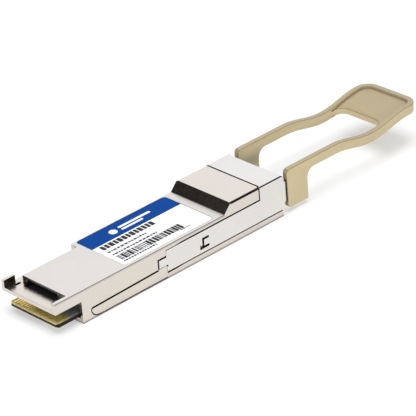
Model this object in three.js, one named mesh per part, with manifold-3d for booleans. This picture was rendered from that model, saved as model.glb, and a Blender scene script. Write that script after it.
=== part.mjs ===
// A pluggable optical transceiver module with a sliding latch and a pull tab.
// Millimetres, +Z up. X runs across the module, and Y runs from the card edge to the pull tab.
// Inside this file Y is 0 at the card end. The whole module is centred on Y at the very end.
import * as THREE from "three";
import { mergeVertices } from "three/addons/utils/BufferGeometryUtils.js";
import Module from "manifold-3d";

// ---- Driving dimensions ----

// Envelope of the pluggable body
const BODY_WIDTH = 18.35;
const BODY_HEIGHT = 8.5;
const BODY_LENGTH = 72.4;
const HALF = BODY_WIDTH / 2;

// Raised nose that holds the optical port
const NOSE_HEIGHT = 10.82;
const SLOPE_START = 53.3;
const SLOPE_END = 55.55;
const NOSE_CHAMFER = 0.48;

// Housing walls
const FLOOR = 1.2;
const SEAM_Z = 8.15;
const CAVITY_HALF = 7.9;
const CAVITY_END = 44.5;
const REAR_CAVITY_HALF = 6.6;
const REAR_CAVITY_END = 53;
const MOUTH_DEPTH = 7.85;

// Hood over the card edge
const HOOD_UNDER = 5.75;
const HOOD_TOP = 6.7;
const HOOD_END = 9.5;
const EAR_LENGTH = 3.4;
const EAR_THICKNESS = 0.88;
const WALL_INNER = 8.05;
const WINDOW_X = [-5.4, 5];
const WINDOW_START = 3.35;
const SLOT_DEPTH = 0.6;

// Left-hand rebate beside the cover
const REBATE_END = 21.3;
const REBATE_X = -6.85;

// Cover
const COVER_START = 4.4;
const COVER_UNDER = 7.3;
const COVER_FOOT = 6.75;
const COVER_LIP = 7.95;
const COVER_CHAMFER = 0.15;

// Label
const LABEL_X = [-8.67, 8.1];
const LABEL_Y = [22.4, 50.7];
const LABEL_RECESS = 0.12;
const LABEL_THICKNESS = 0.1;
const LABEL_CORNER = 0.85;
const LABEL_GAP = 0.08;

// Circuit board
const BOARD_Z = [1.6, 2.6];
const BOARD_START = 0.9;
const BOARD_END = 44;
const CARD_WIDTH = 16.42;
const CARD_BEVEL = [0.5, 0.18]; // back from the edge, and down from each face
const CARD_CORNER = 0.6;
const BOARD_WIDTH = 15.5;
const PAD_COUNT = 19;
const PAD_PITCH = 0.8;
const PAD_WIDTH = 0.54;
const PAD_Y = [1.5, 4.4];
const PAD_THICKNESS = 0.04;

// Latch slider, folded from sheet
const SHEET = 0.5;
const SLIDER_GAP = 0.05;
const SEAT_BELOW = [0.4, 0.24]; // gap under the arm, at its front end and further back
const SEAT_ABOVE = [0.16, 0.36]; // gap over the arm, at its front end and further back
const SEAT_TAPER = [37, 39.5];
const TONGUE_GAP = 0.44; // in front of the tongue and above it
const TONGUE_RELIEF = 0.35;
const BRIDGE_GAP = 0.42;
const CHEEK_GAP = 0.36;
const ARM_Z = [1.8, 7.3];
const ARM_START = 34.3;
const TONGUE_START = 31.9;
const TONGUE_Z = [3.5, 5.6];
const BRIDGE_START = 65.45;
const CHEEK_START = 65.1;
const CHEEK_END = 73.1;
const PUSHER_Y = [46.3, 46.8];
const PUSHER_Z = [3.4, 5.0];
const LANCE_Y = [45.8, 47.9];
const LANCE_TOP = 5.58;

const SLIDER_BEND = 0.3;

// Panel on each flank ahead of the slider: a deep groove over it and a fine one under it
const PANEL_START = 10.4;
const PANEL_BOTTOM = 0.3;
const PANEL_TOE = 2.2; // radius of its lower front corner
const GROOVE_WIDTH = 0.44;
const GROOVE_DEPTH = 0.6;
const FINE_GROOVE = 0.2;

// Return springs
const SPRING_X = 7.8;
const SPRING_Z = 4.2;
const SPRING_RADIUS = 0.6;
const SPRING_WIRE = 0.14;
const SPRING_TURNS = 7;
const SPRING_Y = [46.85, 54.05];
const POCKET_X = [6.9, 8.7];
const POCKET_Y = [46, 54.1];
const POCKET_Z = [3.1, 5.3];

// Optical port, sized for a twelve-fibre push-on plug
const PORT_WIDTH = 12.6;
const PORT_HEIGHT = 7.9;
const PORT_Z = 5.2;
const PORT_START = 56.5;
const INSERT_WALL = 0.5;
const INSERT_END = 72;
const FERRULE_WIDTH = 6.4;
const FERRULE_HEIGHT = 2.5;
const FERRULE_Y = [54.6, 64.6];
const PIN_SPACING = 4.6;
const PIN_RADIUS = 0.35;
const RIBBON_THICKNESS = 0.3;

// Pull tab
const TAB_HALF = 9;
const TAB_WALL = 1.5;
const TAB_TOP = 11.35;
const TAB_DIP = 9.4;
const TAB_DEPTH = 2.5;
const TAB_END = 121.5;
const TAB_CORNER = 3.8;
const LEG_Y = [74.5, 81.3];
const LEG_BOTTOM = 1.1;
const LEG_CORNER = 0.9;
const LEG_FILLET = 2.4;
const DIP_START = 91;
const DIP_MIDDLE = 104.2;
const DIP_END = 117.5;
const PADDLE_START = 109.75;
const PADDLE_SINK = 0.65;
const PADDLE_THICKNESS = 1.65;
const PADDLE_FILLET = 3;

// Cover screws
const SCREW_X = 4.9;
const SCREW_Y = 49.15;
const SCREW_RADIUS = 0.8;
const SCREW_HEAD = 1.4;

const ARC_STEPS = 8;
const ROUND_SIDES = 20;
const EPS = 0.3; // how far a cutter reaches past the face that it opens

// ---- Finishes ----

const FINISH = {
  nickel: { color: 0xdad6d0, roughness: 0.2, metalness: 1 },
  steel: { color: 0xdfdfdd, roughness: 0.25, metalness: 1 },
  springSteel: { color: 0xb9b9b6, roughness: 0.3, metalness: 1 },
  gold: { color: 0xd8b45a, roughness: 0.25, metalness: 1 },
  board: { color: 0x2f3a22, roughness: 0.5, metalness: 0 },
  tab: { color: 0xcabb94, roughness: 0.5, metalness: 0 },
  insert: { color: 0x22242a, roughness: 0.5, metalness: 0 },
  ferrule: { color: 0x3a4048, roughness: 0.45, metalness: 0 },
  lens: { color: 0xd49a4a, roughness: 0.15, metalness: 0 },
  fibre: { color: 0x3fb9c4, roughness: 0.35, metalness: 0 },
  chip: { color: 0x1d1e20, roughness: 0.55, metalness: 0 },
  die: { color: 0x6d7280, roughness: 0.2, metalness: 0.6 },
  ceramic: { color: 0xb49a78, roughness: 0.5, metalness: 0 },
  pad: { color: 0x9aa3b5, roughness: 0.85, metalness: 0 },
  foam: { color: 0x161616, roughness: 0.95, metalness: 0 },
  gasket: { color: 0x4a4b4e, roughness: 0.9, metalness: 0 },
  label: { color: 0xf6f7f8, roughness: 0.45, metalness: 0 },
};

// ---- Solids ----

const wasm = await Module();
wasm.setup();

const X = new THREE.Vector3(1, 0, 0);
const Y = new THREE.Vector3(0, 1, 0);
const Z = new THREE.Vector3(0, 0, 1);

// The closed solid of a three.js geometry.
function solid(geometry) {
  const bare = geometry.clone();
  bare.deleteAttribute("normal");
  bare.deleteAttribute("uv");
  const merged = mergeVertices(bare, 1e-4);
  return new wasm.Manifold(
    new wasm.Mesh({
      numProp: 3,
      vertProperties: merged.getAttribute("position").array,
      triVerts: new Uint32Array(merged.getIndex().array),
    }),
  );
}

function box([x0, x1], [y0, y1], [z0, z1]) {
  const geometry = new THREE.BoxGeometry(x1 - x0, y1 - y0, z1 - z0);
  return solid(geometry.translate((x0 + x1) / 2, (y0 + y1) / 2, (z0 + z1) / 2));
}

// An outline pushed along an axis. Its points are [y, z] for "x", [x, z] for "y" and [x, y] for "z".
function prism(axis, outline, [from, to]) {
  const shape = new THREE.Shape(outline.map(([a, b]) => new THREE.Vector2(a, b)));
  const geometry = new THREE.ExtrudeGeometry(shape, { depth: to - from, bevelEnabled: false });
  const turn = new THREE.Matrix4();
  if (axis === "x") turn.makeBasis(Y, Z, X).setPosition(from, 0, 0);
  if (axis === "y") turn.makeBasis(X, Z, Y.clone().negate()).setPosition(0, to, 0);
  if (axis === "z") turn.setPosition(0, 0, from);
  return solid(geometry.applyMatrix4(turn));
}

// Points on an arc from one angle to another, in degrees.
function arc([a, b], radius, startAngle, endAngle, steps = ARC_STEPS) {
  return Array.from({ length: steps + 1 }, (_, i) => {
    const angle = THREE.MathUtils.degToRad(startAngle + ((endAngle - startAngle) * i) / steps);
    return [a + radius * Math.cos(angle), b + radius * Math.sin(angle)];
  });
}

function rod(axis, centre, radius, span, sides = ROUND_SIDES) {
  return prism(axis, arc(centre, radius, 0, 360, sides).slice(1), span);
}

function roundedRectangle([a0, a1], [b0, b1], radius, steps = 4) {
  return [
    ...arc([a1 - radius, b0 + radius], radius, -90, 0, steps),
    ...arc([a1 - radius, b1 - radius], radius, 0, 90, steps),
    ...arc([a0 + radius, b1 - radius], radius, 90, 180, steps),
    ...arc([a0 + radius, b0 + radius], radius, 180, 270, steps),
  ];
}

function join(...solids) {
  return solids.reduce((whole, next) => whole.add(next));
}

function cut(whole, ...cutters) {
  return cutters.reduce((left, cutter) => left.subtract(cutter), whole);
}

// The same feature on the left and right flanks: make(side) is called with -1 and 1.
function onBothSides(make) {
  return join(make(-1), make(1));
}

// The X span from a to b on the given flank, in rising order.
function flank(side, a, b) {
  return side > 0 ? [a, b] : [-b, -a];
}

const everyX = [-HALF, HALF];

// ---- Lower housing ----

// Side profile of the nose above the seam: a slope up from the flat top, then level to the port.
const noseOutline = [
  [SLOPE_START, SEAM_Z - EPS],
  [SLOPE_START, BODY_HEIGHT],
  [SLOPE_END, NOSE_HEIGHT],
  [BODY_LENGTH, NOSE_HEIGHT],
  [BODY_LENGTH, SEAM_Z - EPS],
];

// The flank panel, rounded at its front end and rising slightly to the slider's tongue. Its upper
// edge can be drawn in by one margin, and its rounded front end and its lower edge by another.
function panelOutline(upper, front) {
  const end = TONGUE_START - TONGUE_GAP + 0.1;
  const toe = PANEL_START + PANEL_TOE;
  const brow = 0.6; // radius of the upper front corner
  return [
    ...arc([PANEL_START + brow, 2.45 + front - upper], brow - front, 180, 95, 4),
    [end, TONGUE_Z[0] - upper],
    [end, PANEL_BOTTOM + front],
    ...arc([toe, PANEL_BOTTOM + PANEL_TOE], PANEL_TOE - front, -90, -170, 6),
  ];
}

// The groove around the panel: deep over it and around its front end, fine under it.
function panelGroove(side) {
  const across = [-HALF - 1, HALF + 1];
  const lowerEdge = [PANEL_START + PANEL_TOE, ARM_START - SLIDER_GAP];
  const deep = cut(
    prism("x", panelOutline(0, 0), flank(side, HALF - GROOVE_DEPTH, HALF + EPS)),
    prism("x", panelOutline(GROOVE_WIDTH, GROOVE_WIDTH * 0.6), across),
    box(across, [lowerEdge[0] + GROOVE_WIDTH, ARM_START], [0, 1.5]),
  );
  const fineZ = [PANEL_BOTTOM, PANEL_BOTTOM + FINE_GROOVE];
  return join(deep, box(flank(side, HALF - FINE_GROOVE, HALF + EPS), lowerEdge, fineZ));
}

// The hollow in the flank that the slider's arm lies in.
function armSeat(side) {
  const end = BODY_LENGTH + EPS;
  const outline = [
    [ARM_START - SLIDER_GAP, ARM_Z[0] - SEAT_BELOW[0]],
    [SEAT_TAPER[0], ARM_Z[0] - SEAT_BELOW[0]],
    [SEAT_TAPER[1], ARM_Z[0] - SEAT_BELOW[1]],
    [end, ARM_Z[0] - SEAT_BELOW[1]],
    [end, ARM_Z[1] + SEAT_ABOVE[1]],
    [SEAT_TAPER[1], ARM_Z[1] + SEAT_ABOVE[1]],
    [SEAT_TAPER[0], ARM_Z[1] + SEAT_ABOVE[0]],
    [ARM_START - SLIDER_GAP, ARM_Z[1] + SEAT_ABOVE[0]],
  ];
  return prism("x", outline, flank(side, HALF - SHEET - SLIDER_GAP, HALF + EPS));
}

function noseShell() {
  const edgeCutters = onBothSides((side) =>
    prism(
      "y",
      [
        [side * (HALF - NOSE_CHAMFER), NOSE_HEIGHT],
        [side * HALF, NOSE_HEIGHT - NOSE_CHAMFER],
        [side * (HALF + 1), NOSE_HEIGHT - NOSE_CHAMFER],
        [side * (HALF + 1), NOSE_HEIGHT + 1],
        [side * (HALF - NOSE_CHAMFER), NOSE_HEIGHT + 1],
      ],
      [SLOPE_END - 0.1, BODY_LENGTH + EPS],
    ),
  );
  return cut(prism("x", noseOutline, everyX), edgeCutters);
}

function hood() {
  const plate = box(everyX, [0, HOOD_END], [HOOD_UNDER, HOOD_TOP]);
  const leftEar = box([-HALF, -HALF + EAR_THICKNESS], [0, EAR_LENGTH], [HOOD_UNDER, BODY_HEIGHT]);
  const rightWall = box([WALL_INNER, HALF], [0, HOOD_END], [HOOD_UNDER, SEAM_Z]);
  const window = box(WINDOW_X, [WINDOW_START, HOOD_END + EPS], [HOOD_UNDER - EPS, HOOD_TOP + EPS]);
  const slotHeight = [HOOD_TOP - SLOT_DEPTH, HOOD_TOP + EPS];
  const leftSlot = box([-7.6, -6.8], [2.4, 3.9], slotHeight);
  const rightSlot = box([5.45, 6], [2.1, 3.1], slotHeight);
  return cut(join(plate, leftEar, rightWall), window, leftSlot, rightSlot);
}

// Seats and hollows for the slider on both flanks and over the nose.
function sliderSeats() {
  const depth = SHEET + SLIDER_GAP;
  const past = BODY_LENGTH + EPS;
  const flanks = onBothSides((side) => {
    const seat = flank(side, HALF - depth, HALF + EPS);
    const tongueHeight = [TONGUE_Z[0] - SLIDER_GAP, TONGUE_Z[1] + TONGUE_GAP];
    return join(
      armSeat(side),
      box(seat, [TONGUE_START - TONGUE_GAP, ARM_START], tongueHeight),
      box(seat, [CHEEK_START - CHEEK_GAP, past], [ARM_Z[0], NOSE_HEIGHT + EPS]),
      panelGroove(side),
      box(flank(side, ...POCKET_X), POCKET_Y, POCKET_Z),
    );
  });
  const bridge = box(
    [-HALF - EPS, HALF + EPS],
    [BRIDGE_START - BRIDGE_GAP, past],
    [NOSE_HEIGHT - depth, NOSE_HEIGHT + EPS],
  );
  return join(flanks, bridge);
}

function lowerHousing() {
  const tray = box(everyX, [MOUTH_DEPTH, BODY_LENGTH], [0, SEAM_Z]);
  const top = SEAM_Z + EPS;
  const cavity = box([-CAVITY_HALF, CAVITY_HALF], [MOUTH_DEPTH - EPS, CAVITY_END], [FLOOR, top]);
  const rearCavity = box(
    [-REAR_CAVITY_HALF, REAR_CAVITY_HALF],
    [CAVITY_END - EPS, REAR_CAVITY_END],
    [FLOOR, top],
  );
  const mouth = box([-8.35, 8.35], [MOUTH_DEPTH - EPS, 10], [FLOOR, HOOD_UNDER]);
  const rebate = box([-HALF - EPS, REBATE_X], [EAR_LENGTH, REBATE_END], [HOOD_TOP, BODY_HEIGHT]);
  const ferruleWindow = box([-4.3, 4.3], [REAR_CAVITY_END - EPS, PORT_START + EPS], [2.9, 7.5]);
  const port = box(
    [-PORT_WIDTH / 2 - INSERT_WALL - 0.1, PORT_WIDTH / 2 + INSERT_WALL + 0.1],
    [PORT_START, BODY_LENGTH + EPS],
    [PORT_Z - PORT_HEIGHT / 2 - INSERT_WALL - 0.05, PORT_Z + PORT_HEIGHT / 2 + INSERT_WALL + 0.05],
  );
  const rebateShelf = box([-CAVITY_HALF - EPS, -5.7], [MOUTH_DEPTH, 22.3], [5.9, HOOD_TOP]);
  const boardRails = onBothSides((side) =>
    box(flank(side, 6.9, CAVITY_HALF + EPS), [12, 40], [FLOOR - EPS, BOARD_Z[0]]),
  );
  const bosses = onBothSides((side) => rod("z", [side * SCREW_X, SCREW_Y], 2, [FLOOR - EPS, 6.2]));
  const screwHoles = onBothSides((side) => {
    const centre = [side * SCREW_X, SCREW_Y];
    return join(rod("z", centre, 0.95, [-EPS, 6.5]), rod("z", centre, 1.5, [-EPS, 1]));
  });
  const hollowTray = cut(tray, cavity, rearCavity, mouth, rebate);
  const shell = join(hollowTray, rebateShelf, boardRails, bosses, noseShell(), hood());
  return cut(shell, ferruleWindow, port, screwHoles, sliderSeats());
}

// ---- Cover and label ----

function topCover() {
  const rear = SLOPE_START - 0.05;
  const outline = [
    [HALF, 0],
    [HALF, rear],
    [-HALF, rear],
    [-HALF, REBATE_END],
    [REBATE_X, REBATE_END],
    [REBATE_X, COVER_START],
    [WALL_INNER, COVER_START],
    [WALL_INNER, 0],
  ];
  const plate = prism("z", outline, [SEAM_Z, BODY_HEIGHT]);
  const inside = [COVER_UNDER, SEAM_Z + 0.1];
  const frontRib = box([REBATE_X, 7.75], [COVER_START + 1, REBATE_END], inside);
  const rearRib = box([-7.75, 7.75], [REBATE_END + 0.1, CAVITY_END - 0.1], inside);
  const ribLink = box([REBATE_X, 7.75], [20, 23], inside);
  const tailRib = box([-6.5, 6.5], [CAVITY_END - 0.2, 50.9], inside);
  const wallY = [COVER_START, COVER_START + 1.05];
  const frontWall = box([REBATE_X, 8], wallY, [COVER_FOOT, SEAM_Z + 0.1]);
  const notchY = [COVER_START - EPS, COVER_START + 1.4];
  const frontNotch = box(WINDOW_X, notchY, [COVER_FOOT - EPS, COVER_LIP]);
  const leftFoot = box([REBATE_X, REBATE_X + 1], [COVER_START, REBATE_END], [COVER_FOOT, SEAM_Z]);
  const posts = onBothSides((side) =>
    rod("z", [side * SCREW_X, SCREW_Y], 1.6, [6.25, COVER_UNDER + 0.1]),
  );
  const threads = onBothSides((side) => rod("z", [side * SCREW_X, SCREW_Y], 0.85, [6, 7.7]));
  const around = ([low, high]) => [low - LABEL_GAP, high + LABEL_GAP];
  const recess = prism(
    "z",
    roundedRectangle(around(LABEL_X), around(LABEL_Y), LABEL_CORNER + LABEL_GAP),
    [BODY_HEIGHT - LABEL_RECESS, BODY_HEIGHT + EPS],
  );
  const edges = onBothSides((side) =>
    prism(
      "y",
      [
        [side * (HALF - COVER_CHAMFER), BODY_HEIGHT],
        [side * HALF, BODY_HEIGHT - COVER_CHAMFER],
        [side * (HALF + 1), BODY_HEIGHT - COVER_CHAMFER],
        [side * (HALF + 1), BODY_HEIGHT + 1],
        [side * (HALF - COVER_CHAMFER), BODY_HEIGHT + 1],
      ],
      [-EPS, BODY_LENGTH],
    ),
  );
  const body = join(plate, frontRib, ribLink, rearRib, tailRib, frontWall, leftFoot, posts);
  return cut(body, frontNotch, threads, recess, edges);
}

function label() {
  const base = BODY_HEIGHT - LABEL_RECESS;
  return prism("z", roundedRectangle(LABEL_X, LABEL_Y, LABEL_CORNER), [base, base + LABEL_THICKNESS]);
}

// ---- Circuit board and what it carries ----

function circuitBoard() {
  const card = CARD_WIDTH / 2;
  const wide = BOARD_WIDTH / 2;
  const outline = [
    [card - CARD_CORNER, BOARD_START],
    [card, BOARD_START + CARD_CORNER],
    [card, HOOD_END],
    [wide, HOOD_END],
    [wide, BOARD_END],
    [-wide, BOARD_END],
    [-wide, HOOD_END],
    [-card, HOOD_END],
    [-card, BOARD_START + CARD_CORNER],
    [-card + CARD_CORNER, BOARD_START],
  ];
  const [back, down] = CARD_BEVEL;
  const profile = [
    [BOARD_START, BOARD_Z[0] + down],
    [BOARD_START + back, BOARD_Z[0]],
    [BOARD_END, BOARD_Z[0]],
    [BOARD_END, BOARD_Z[1]],
    [BOARD_START + back, BOARD_Z[1]],
    [BOARD_START, BOARD_Z[1] - down],
  ];
  return prism("z", outline, BOARD_Z).intersect(prism("x", profile, [-card, card]));
}

// One row of contact fingers, tied together by a thin strip of plating behind them.
function contactPads([z0, z1]) {
  const reach = ((PAD_COUNT - 1) * PAD_PITCH) / 2;
  const half = reach + PAD_WIDTH / 2;
  const strip = box([-half, half], [PAD_Y[1] - 0.15, PAD_Y[1]], [z0, z1]);
  const fingers = Array.from({ length: PAD_COUNT }, (_, i) => {
    const x = i * PAD_PITCH - reach;
    return box([x - PAD_WIDTH / 2, x + PAD_WIDTH / 2], [PAD_Y[0], PAD_Y[1]], [z0, z1]);
  });
  return join(strip, ...fingers);
}

// Black absorber foam in the hood's window: a floor, and a back that rises under the cover.
function absorber() {
  const across = [WINDOW_X[0] + 0.05, WINDOW_X[1] - 0.05];
  const base = box(across, [WINDOW_START + 0.05, HOOD_END - 0.05], [HOOD_UNDER, HOOD_UNDER + 0.3]);
  const back = box(across, [6.6, HOOD_END - 0.05], [HOOD_UNDER, COVER_UNDER - 0.02]);
  return join(base, back);
}

// A block of the given size standing on Z 0, centred on X and Y, with its upper edges broken.
function component(width, length, height, chamfer = 0.1) {
  const top = height - chamfer;
  const frustum = (axis, half) =>
    prism(
      axis,
      [
        [-half, 0],
        [half, 0],
        [half, top],
        [half - chamfer, height],
        [-half + chamfer, height],
        [-half, top],
      ],
      [-20, 20],
    );
  return frustum("y", width / 2).intersect(frustum("x", length / 2));
}

// The lens block stands over the two optical chips, so it is open underneath.
function lensBlock() {
  const block = component(8, 5.6, 2.4, 0.25);
  const chamber = box([-3.4, 3.4], [-3, 0.6], [-EPS, 0.9]);
  const ribbonSlot = box([-1.7, 1.7], [1.2, 3], [0.7, 1.3]);
  return cut(block, chamber, ribbonSlot);
}

// ---- Optical port ----

function opticalReceptacle() {
  const outerX = PORT_WIDTH / 2 + INSERT_WALL;
  const outerZ = PORT_HEIGHT / 2 + INSERT_WALL;
  const innerX = PORT_WIDTH / 2;
  const innerZ = PORT_HEIGHT / 2;
  const start = PORT_START + 0.1;
  const sleeve = box([-outerX, outerX], [start, INSERT_END], [PORT_Z - outerZ, PORT_Z + outerZ]);
  const boreZ = [PORT_Z - innerZ, PORT_Z + innerZ];
  const bore = box([-innerX, innerX], [start + 1.6, INSERT_END + EPS], boreZ);
  const ferruleHole = box([-3.4, 3.4], [start - EPS, start + 2], [PORT_Z - 1.4, PORT_Z + 1.4]);
  const keyway = box([-1.3, 1.3], [start + 6, INSERT_END + EPS], [PORT_Z, PORT_Z + innerZ + 0.3]);
  const hooks = onBothSides((side) =>
    join(
      box(flank(side, 4.6, 5.3), [start + 1, 66.2], [PORT_Z - 1.3, PORT_Z + 1.3]),
      prism(
        "z",
        [
          [side * 4.7, 64.4],
          [side * 4.1, 65],
          [side * 4.1, 65.5],
          [side * 4.7, 66.2],
        ],
        [PORT_Z - 1.3, PORT_Z + 1.3],
      ),
    ),
  );
  return join(cut(sleeve, bore, ferruleHole, keyway), hooks);
}

function ferrule() {
  const halfX = FERRULE_WIDTH / 2;
  const halfZ = FERRULE_HEIGHT / 2;
  const body = box([-halfX, halfX], FERRULE_Y, [PORT_Z - halfZ, PORT_Z + halfZ]);
  const flange = box([-3.9, 3.9], [FERRULE_Y[0], FERRULE_Y[0] + 1.8], [PORT_Z - 1.7, PORT_Z + 1.7]);
  const pinHoles = onBothSides((side) =>
    rod("y", [(side * PIN_SPACING) / 2, PORT_Z], PIN_RADIUS + 0.06, [FERRULE_Y[0] + 2, 70], 12),
  );
  const holeY = [FERRULE_Y[0] - EPS, FERRULE_Y[0] + 3];
  const ribbonHole = box([-1.7, 1.7], holeY, [PORT_Z - 0.3, PORT_Z + 0.3]);
  return cut(join(body, flange), pinHoles, ribbonHole);
}

// A spring-steel clip that presses the ferrule's flange against the partition.
function ferruleClip() {
  const plate = box([-4.1, 4.1], [53.9, 54.3], [3.1, 7.3]);
  const lips = onBothSides((side) => box(flank(side, 3.7, 4.1), [53.2, 54.1], [3.1, 7.3]));
  const ribbonSlot = box([-1.9, 1.9], [53, 55], [PORT_Z - 0.5, 8]);
  return cut(join(plate, lips), ribbonSlot);
}

// The ribbon leaves the lens block level, climbs, and enters the ferrule level.
function fibreRibbon(startY, startZ, endY) {
  const path = new THREE.CubicBezierCurve(
    new THREE.Vector2(startY, startZ),
    new THREE.Vector2(startY + 5, startZ),
    new THREE.Vector2(endY - 5, PORT_Z),
    new THREE.Vector2(endY, PORT_Z),
  );
  const line = path.getPoints(14);
  const upper = line.map(({ x: y, y: z }) => [y, z + RIBBON_THICKNESS / 2]);
  const lower = line.map(({ x: y, y: z }) => [y, z - RIBBON_THICKNESS / 2]);
  return prism("x", [...lower, ...upper.reverse()], [-1.5, 1.5]);
}

// ---- Moving latch ----

function latchSlider() {
  const arms = onBothSides((side) => {
    const sheet = flank(side, HALF - SHEET, HALF);
    const plate = join(
      box(sheet, [ARM_START, CHEEK_END], ARM_Z),
      box(sheet, [TONGUE_START, ARM_START + 0.1], TONGUE_Z),
    );
    const cheek = prism(
      "x",
      [
        [CHEEK_START, ARM_Z[1] - EPS],
        [CHEEK_END, ARM_Z[1] - EPS],
        ...arc([CHEEK_END - 0.9, NOSE_HEIGHT - 0.9], 0.9, 0, 90, 4),
        [CHEEK_START, NOSE_HEIGHT],
      ],
      sheet,
    );
    // The lance in the arm: a slot under the pusher, a slit in front of it and one over it
    const through = flank(side, HALF - SHEET - EPS, HALF + EPS);
    const underPusher = [
      [LANCE_Y[0] - 0.9, 2.75],
      [LANCE_Y[1], 2.85],
      [LANCE_Y[1], PUSHER_Z[0]],
      [PUSHER_Y[0] - 0.2, PUSHER_Z[0]],
      [LANCE_Y[0] - 0.9, 4],
    ];
    const lance = join(
      prism("x", underPusher, through),
      box(through, [PUSHER_Y[0] - 0.6, PUSHER_Y[0]], [PUSHER_Z[0] - 0.1, LANCE_TOP]),
      box(through, LANCE_Y, [PUSHER_Z[1] + 0.02, LANCE_TOP]),
    );
    // A small square relief where the tongue's lower edge meets the arm
    const relief = box(
      through,
      [ARM_START - EPS, ARM_START + TONGUE_RELIEF],
      [TONGUE_Z[0] - TONGUE_RELIEF, TONGUE_Z[0] + 0.05],
    );
    const pusher = box(flank(side, 7.1, HALF - SHEET + 0.1), PUSHER_Y, PUSHER_Z);
    // A tongue jogs inwards behind the housing and runs into the pull tab's leg
    const jog = box(flank(side, 8, HALF), [CHEEK_END - SHEET, CHEEK_END], [3, 8.5]);
    const tongue = box(flank(side, 8, 8 + SHEET), [CHEEK_END - SHEET, 79.5], [3, 8.5]);
    return join(cut(join(plate, cheek), lance, relief), pusher, jog, tongue);
  });
  const bridge = box(everyX, [BRIDGE_START, BODY_LENGTH], [NOSE_HEIGHT - SHEET, NOSE_HEIGHT]);
  const bends = onBothSides((side) =>
    prism(
      "y",
      [
        [side * (HALF - SLIDER_BEND), NOSE_HEIGHT],
        [side * HALF, NOSE_HEIGHT - SLIDER_BEND],
        [side * (HALF + 1), NOSE_HEIGHT],
        [side * HALF, NOSE_HEIGHT + 1],
      ],
      [CHEEK_START - EPS, CHEEK_END + EPS],
    ),
  );
  return cut(join(arms, bridge), bends);
}

// Height of the pull tab's upper face: level, one smooth dip, then level again.
function tabTop(y) {
  const ease = (t) => (1 - Math.cos(Math.PI * THREE.MathUtils.clamp(t, 0, 1))) / 2;
  const down = ease((y - DIP_START) / (DIP_MIDDLE - DIP_START));
  const up = ease((y - DIP_MIDDLE) / (DIP_END - DIP_MIDDLE));
  return TAB_TOP - (TAB_TOP - TAB_DIP) * (down - up);
}

// Y places at which the dip is sampled, from one end to the other.
function dipSteps(from, to, count = 32) {
  return Array.from({ length: count + 1 }, (_, i) => from + ((to - from) * i) / count);
}

function pullTab() {
  const beyond = TAB_END + 1;
  const samples = [...dipSteps(DIP_START, DIP_END), beyond];
  const side = [
    ...arc([LEG_Y[0] + LEG_CORNER, LEG_BOTTOM + LEG_CORNER], LEG_CORNER, 180, 270, 4),
    [LEG_Y[1], LEG_BOTTOM],
    ...arc([LEG_Y[1] + LEG_FILLET, TAB_TOP - TAB_DEPTH - LEG_FILLET], LEG_FILLET, 180, 90, 8),
    ...samples.map((y) => [y, tabTop(y) - TAB_DEPTH]),
    ...samples.reverse().map((y) => [y, tabTop(y)]),
    ...arc([LEG_Y[0] + 1.1, TAB_TOP - 1.1], 1.1, 90, 180, 5),
  ];
  const plan = (half, end, corner) => [
    [-half, LEG_Y[0] - EPS],
    [half, LEG_Y[0] - EPS],
    ...arc([half - corner, end - corner], corner, 0, 90, 12),
    ...arc([corner - half, end - corner], corner, 90, 180, 12),
  ];
  const outer = prism("z", plan(TAB_HALF, TAB_END, TAB_CORNER), [0, 20]);
  const innerPlan = plan(TAB_HALF - TAB_WALL, TAB_END - TAB_WALL, TAB_CORNER - TAB_WALL);
  const inner = prism("z", innerPlan.map(([x, y]) => [x, Math.max(y, 70)]), [-1, 21]);
  const loop = prism("x", side, [-TAB_HALF, TAB_HALF]).intersect(cut(outer, inner));

  const reach = TAB_HALF - TAB_WALL / 2;
  const web = TAB_HALF - TAB_WALL;
  const paddlePlan = [
    [reach, TAB_END - TAB_WALL],
    [-reach, TAB_END - TAB_WALL],
    [-reach, PADDLE_START - PADDLE_FILLET],
    ...arc([PADDLE_FILLET - web, PADDLE_START - PADDLE_FILLET], PADDLE_FILLET, 180, 90, 9),
    ...arc([web - PADDLE_FILLET, PADDLE_START - PADDLE_FILLET], PADDLE_FILLET, 90, 0, 9),
    [reach, PADDLE_START - PADDLE_FILLET],
  ];
  const paddleSteps = dipSteps(PADDLE_START - PADDLE_FILLET - 1, DIP_END, 9);
  paddleSteps.push(beyond);
  const paddleFace = (y) => tabTop(y) - PADDLE_SINK;
  const paddleSide = [
    ...paddleSteps.map((y) => [y, paddleFace(y) - PADDLE_THICKNESS]),
    ...paddleSteps.reverse().map((y) => [y, paddleFace(y)]),
  ];
  const floor = prism("x", paddleSide, [-TAB_HALF, TAB_HALF])
    .intersect(prism("z", paddlePlan, [0, 20]))
    .intersect(outer);

  const sockets = onBothSides((flankSide) =>
    box(flank(flankSide, 7.95, 8.55), [LEG_Y[0] - EPS, 79.6], [2.95, 8.55]),
  );
  return cut(join(loop, floor), sockets);
}

class Helix extends THREE.Curve {
  getPoint(t, target = new THREE.Vector3()) {
    const angle = 2 * Math.PI * SPRING_TURNS * t;
    const length = SPRING_Y[1] - SPRING_Y[0] - 2 * SPRING_WIRE;
    const across = SPRING_RADIUS * Math.cos(angle);
    return target.set(across, SPRING_WIRE + length * t, SPRING_RADIUS * Math.sin(angle));
  }
}

// A compression spring along +Y from the origin.
function returnSpring() {
  const section = new THREE.Shape(
    arc([0, 0], SPRING_WIRE, 0, 360, 6)
      .slice(1)
      .map(([a, b]) => new THREE.Vector2(a, b)),
  );
  const steps = SPRING_TURNS * 12;
  return solid(new THREE.ExtrudeGeometry(section, { steps, extrudePath: new Helix() }));
}

// ---- Fasteners ----

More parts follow.
